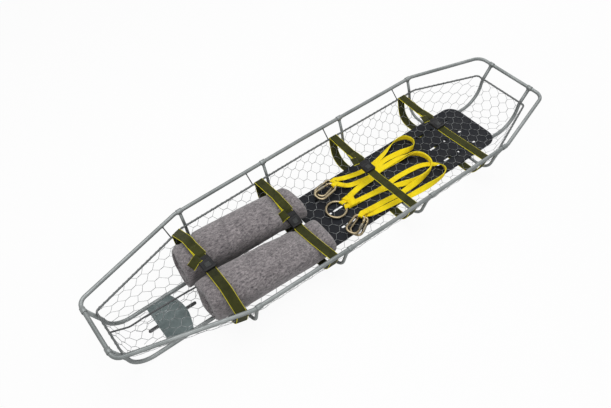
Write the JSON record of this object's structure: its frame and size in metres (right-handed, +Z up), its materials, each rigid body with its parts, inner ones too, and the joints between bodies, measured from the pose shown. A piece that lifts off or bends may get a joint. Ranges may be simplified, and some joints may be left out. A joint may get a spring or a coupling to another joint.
{
  "type": "basket stretcher",
  "caption": "Wire basket stretcher with tubular rails and runners, restraint straps with push-button buckles, rolled blankets and a webbing lifting bridle with locking carabiners.",
  "frame": {"origin": "centre of the footprint of the rigid litter on the ground under its runners", "axes": "+X points along the litter to the head end, +Y to the far side in the picture, +Z up"},
  "size_m": [2.137, 0.6008, 0.2276],
  "materials": {
    "frame_tube": "matt grey powder coat",
    "netting": "dull galvanised wire",
    "divider_rod": "dark coated rod",
    "board": "dark blue-black sheet with a fine grain",
    "plate": "grey-green coat",
    "plate_bar": "dark coated flat bar",
    "blanket": "heather grey wool, felted",
    "strap_webbing": "olive woven webbing with yellow edges",
    "buckle": "black, fine grain",
    "buckle_button": "dark grey, ribbed",
    "bridle_webbing": "bright yellow woven webbing",
    "fittings": "yellowish zinc plating"
  },
  "bodies": {
    "stretcher": {"back_board": "board", "blanket_far": "blanket", "blanket_near": "blanket", "bridle_leg_1": "bridle_webbing", "bridle_leg_2": "bridle_webbing", "bridle_leg_3": "bridle_webbing", "bridle_leg_4": "bridle_webbing", "bridle_ring": "fittings", "buckle_socket_1": "buckle", "buckle_socket_2": "buckle", "buckle_socket_3": "buckle", "buckle_socket_4": "buckle", "carabiner_1": "fittings", "carabiner_2": "fittings", "carabiner_3": "fittings", "carabiner_4": "fittings", "foot_plate": "plate", "foot_plate_bar": "plate_bar", "leg_divider": "divider_rod", "lower_rail": "frame_tube", "net_floor": "netting", "net_foot_end": "netting", "net_foot_far": "netting", "net_foot_near": "netting", "net_head_end": "netting", "net_head_far": "netting", "net_head_near": "netting", "net_side_far": "netting", "net_side_near": "netting", "rib_1": "frame_tube", "rib_2": "frame_tube", "rib_3": "frame_tube", "rib_4": "frame_tube", "runner_far": "frame_tube", "runner_near": "frame_tube", "strap_1": "strap_webbing", "strap_2": "strap_webbing", "strap_3": "strap_webbing", "strap_4": "strap_webbing", "top_rail": "frame_tube"},
    "button_1": {"buckle_button_1": "buckle_button"},
    "tongue_1": {"buckle_tongue_1": "buckle", "strap_tail_1": "strap_webbing"},
    "gate_1": {"carabiner_gate_1": "fittings"},
    "lock_1": {"carabiner_sleeve_1": "fittings"},
    "button_2": {"buckle_button_2": "buckle_button"},
    "tongue_2": {"buckle_tongue_2": "buckle", "strap_tail_2": "strap_webbing"},
    "gate_2": {"carabiner_gate_2": "fittings"},
    "lock_2": {"carabiner_sleeve_2": "fittings"},
    "button_3": {"buckle_button_3": "buckle_button"},
    "tongue_3": {"buckle_tongue_3": "buckle", "strap_tail_3": "strap_webbing"},
    "gate_3": {"carabiner_gate_3": "fittings"},
    "lock_3": {"carabiner_sleeve_3": "fittings"},
    "button_4": {"buckle_button_4": "buckle_button"},
    "tongue_4": {"buckle_tongue_4": "buckle", "strap_tail_4": "strap_webbing"},
    "gate_4": {"carabiner_gate_4": "fittings"},
    "lock_4": {"carabiner_sleeve_4": "fittings"}
  },
  "joints": [
    {"name": "button_press_1", "type": "slide", "parent": "stretcher", "child": "button_1", "axis": [0, 0.0505, -0.9987], "range_m": [0, 0.003], "stiffness_N_per_m": 400},
    {"name": "tongue_slide_1", "type": "slide", "parent": "stretcher", "child": "tongue_1", "axis": [0, 0.9987, 0.0505], "range_m": [0, 0.03]},
    {"name": "button_press_2", "type": "slide", "parent": "stretcher", "child": "button_2", "axis": [0, 0.3594, -0.9332], "range_m": [0, 0.003], "stiffness_N_per_m": 400},
    {"name": "tongue_slide_2", "type": "slide", "parent": "stretcher", "child": "tongue_2", "axis": [0, 0.9332, 0.3594], "range_m": [0, 0.03]},
    {"name": "button_press_3", "type": "slide", "parent": "stretcher", "child": "button_3", "axis": [0, 0.0531, -0.9986], "range_m": [0, 0.003], "stiffness_N_per_m": 400},
    {"name": "tongue_slide_3", "type": "slide", "parent": "stretcher", "child": "tongue_3", "axis": [0, 0.9986, 0.0531], "range_m": [0, 0.03]},
    {"name": "button_press_4", "type": "slide", "parent": "stretcher", "child": "button_4", "axis": [0, 0.0527, -0.9986], "range_m": [0, 0.003], "stiffness_N_per_m": 400},
    {"name": "tongue_slide_4", "type": "slide", "parent": "stretcher", "child": "tongue_4", "axis": [0, 0.9986, 0.0527], "range_m": [0, 0.03]},
    {"name": "gate_hinge_1", "type": "hinge", "parent": "stretcher", "child": "gate_1", "pos_m": [0.05546, 0.14035, 0.0442], "axis": [0, 0, 1], "range_deg": [0, 28], "stiffness_Nm_per_rad": 0.05, "springref_deg": -11.46},
    {"name": "lock_twist_1", "type": "hinge", "parent": "gate_1", "child": "lock_1", "pos_m": [0.05546, 0.14035, 0.0442], "axis": [-0.9929, -0.1188, 0], "range_deg": [0, 90]},
    {"name": "gate_hinge_2", "type": "hinge", "parent": "stretcher", "child": "gate_2", "pos_m": [0.03297, -0.13527, 0.0585], "axis": [0, 0, -1], "range_deg": [0, 28], "stiffness_Nm_per_rad": 0.05, "springref_deg": -11.46},
    {"name": "lock_twist_2", "type": "hinge", "parent": "gate_2", "child": "lock_2", "pos_m": [0.03297, -0.13527, 0.0585], "axis": [-0.8896, -0.4568, 0], "range_deg": [0, 90]},
    {"name": "gate_hinge_3", "type": "hinge", "parent": "stretcher", "child": "gate_3", "pos_m": [0.0474, -0.14032, 0.0442], "axis": [0, 0, -1], "range_deg": [0, 28], "stiffness_Nm_per_rad": 0.05, "springref_deg": -11.46},
    {"name": "lock_twist_3", "type": "hinge", "parent": "gate_3", "child": "lock_3", "pos_m": [0.0474, -0.14032, 0.0442], "axis": [-0.8645, -0.5027, 0], "range_deg": [0, 90]},
    {"name": "gate_hinge_4", "type": "hinge", "parent": "stretcher", "child": "gate_4", "pos_m": [0.04029, 0.11353, 0.0585], "axis": [0, 0, 1], "range_deg": [0, 28], "stiffness_Nm_per_rad": 0.05, "springref_deg": -11.46},
    {"name": "lock_twist_4", "type": "hinge", "parent": "gate_4", "child": "lock_4", "pos_m": [0.04029, 0.11353, 0.0585], "axis": [-0.9999, -0.0143, 0], "range_deg": [0, 90]}
  ]
}
